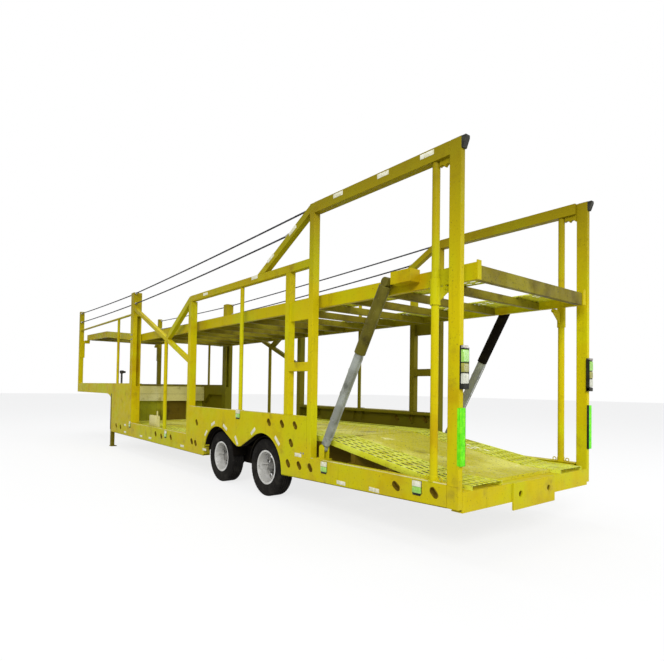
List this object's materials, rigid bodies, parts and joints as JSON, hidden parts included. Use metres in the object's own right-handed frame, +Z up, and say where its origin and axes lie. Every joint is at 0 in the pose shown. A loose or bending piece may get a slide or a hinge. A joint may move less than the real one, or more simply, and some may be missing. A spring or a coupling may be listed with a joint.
{
  "type": "car transporter semi-trailer",
  "caption": "Two-deck car transporter semi-trailer with tandem wheels, gooseneck, ladder posts, guard rails and tilting upper decks on lift cylinders.",
  "frame": {"origin": "centre of the bounding box at ground level", "axes": "+X forward to the neck, +Y to the left, +Z up"},
  "size_m": [14.045, 2.5, 3.8],
  "materials": {
    "frame_paint": "semi-gloss",
    "deck_paint": "worn",
    "dark_steel": "satin",
    "bare_steel": "dull",
    "cylinder_grey": "satin",
    "rim_paint": "dusty",
    "tyre_rubber": "matte",
    "lamp_lens": "gloss",
    "cable_black": "matte",
    "panel_paint": "worn"
  },
  "bodies": {
    "frame": {"corner_posts": "frame_paint", "round_posts": "frame_paint", "ladder_frames": "frame_paint", "middle_posts": "frame_paint", "top_rails": "frame_paint", "waist_rails": "frame_paint", "long_braces": "frame_paint", "guard_cables": "cable_black", "sills": "frame_paint", "wheel_panels": "frame_paint", "rear_beam": "frame_paint", "tow_plate": "frame_paint", "cross_members": "deck_paint", "lower_tracks": "deck_paint", "centre_floor": "panel_paint", "neck_sides": "frame_paint", "bulkhead": "panel_paint", "neck_floor": "frame_paint", "coupler": "bare_steel", "landing_legs": "panel_paint", "axle_beams": "dark_steel", "suspension": "dark_steel", "lamps": "lamp_lens", "deck_shaft": "bare_steel", "cylinder_feet": "frame_paint"},
    "wheels_rear_left": {"tyres_rear_left": "tyre_rubber", "rims_rear_left": "rim_paint"},
    "wheels_rear_right": {"tyres_rear_right": "tyre_rubber", "rims_rear_right": "rim_paint"},
    "wheels_front_left": {"tyres_front_left": "tyre_rubber", "rims_front_left": "rim_paint"},
    "wheels_front_right": {"tyres_front_right": "tyre_rubber", "rims_front_right": "rim_paint"},
    "rear_deck": {"rear_deck_frame": "frame_paint", "rear_deck_crosses": "frame_paint", "rear_deck_tracks": "deck_paint"},
    "front_deck": {"front_deck_frame": "frame_paint", "front_deck_crosses": "frame_paint", "front_deck_tracks": "deck_paint"},
    "barrel_left": {"cylinder_barrel_left": "cylinder_grey"},
    "rod_left": {"cylinder_rod_left": "frame_paint"},
    "barrel_right": {"cylinder_barrel_right": "cylinder_grey"},
    "rod_right": {"cylinder_rod_right": "frame_paint"},
    "rear_guide_pair": {"rear_guides": "frame_paint"},
    "front_guide_pair": {"front_guides": "frame_paint"}
  },
  "joints": [
    {"name": "rear_left_wheels_spin", "type": "hinge", "parent": "frame", "child": "wheels_rear_left", "pos_m": [-3.6175, 0.9675, 0.3985], "axis": [0, 1, 0], "continuous": true},
    {"name": "rear_right_wheels_spin", "type": "hinge", "parent": "frame", "child": "wheels_rear_right", "pos_m": [-3.6175, -0.9675, 0.3985], "axis": [0, 1, 0], "continuous": true},
    {"name": "front_left_wheels_spin", "type": "hinge", "parent": "frame", "child": "wheels_front_left", "pos_m": [-2.2575, 0.9675, 0.3985], "axis": [0, 1, 0], "continuous": true},
    {"name": "front_right_wheels_spin", "type": "hinge", "parent": "frame", "child": "wheels_front_right", "pos_m": [-2.2575, -0.9675, 0.3985], "axis": [0, 1, 0], "continuous": true},
    {"name": "rear_deck_tilt", "type": "hinge", "parent": "frame", "child": "rear_deck", "pos_m": [2.0625, 0, 2.61], "axis": [0, -1, 0], "range_deg": [0, 5.5]},
    {"name": "front_deck_tilt", "type": "hinge", "parent": "frame", "child": "front_deck", "pos_m": [2.0625, 0, 2.61], "axis": [0, 1, 0], "range_deg": [0, 8]},
    {"name": "barrel_left_swing", "type": "hinge", "parent": "frame", "child": "barrel_left", "pos_m": [-4.9375, 1.15, 0.8], "axis": [0, -1, 0], "range_deg": [0, 13.6]},
    {"name": "rod_left_slide", "type": "slide", "parent": "barrel_left", "child": "rod_left", "axis": [-0.4828, 0, 0.8757], "range_m": [-0.65, 0]},
    {"name": "barrel_right_swing", "type": "hinge", "parent": "frame", "child": "barrel_right", "pos_m": [-4.9375, -1.15, 0.8], "axis": [0, -1, 0], "range_deg": [0, 13.6]},
    {"name": "rod_right_slide", "type": "slide", "parent": "barrel_right", "child": "rod_right", "axis": [-0.4828, 0, 0.8757], "range_m": [-0.65, 0]},
    {"name": "rear_guides_slide", "type": "slide", "parent": "frame", "child": "rear_guide_pair", "axis": [0, 0, 1], "range_m": [-0.84, 0]},
    {"name": "front_guides_slide", "type": "slide", "parent": "frame", "child": "front_guide_pair", "axis": [0, 0, 1], "range_m": [-0.67, 0]}
  ],
  "couplings": [
    {"joint": "barrel_left_swing", "follows": "rear_deck_tilt", "ratio": 2.4584},
    {"joint": "rod_left_slide", "follows": "rear_deck_tilt", "m_per_rad": -6.7579},
    {"joint": "barrel_right_swing", "follows": "rear_deck_tilt", "ratio": 2.4584},
    {"joint": "rod_right_slide", "follows": "rear_deck_tilt", "m_per_rad": -6.7579},
    {"joint": "rear_guides_slide", "follows": "rear_deck_tilt", "m_per_rad": -8.72},
    {"joint": "front_guides_slide", "follows": "front_deck_tilt", "m_per_rad": -4.775}
  ]
}
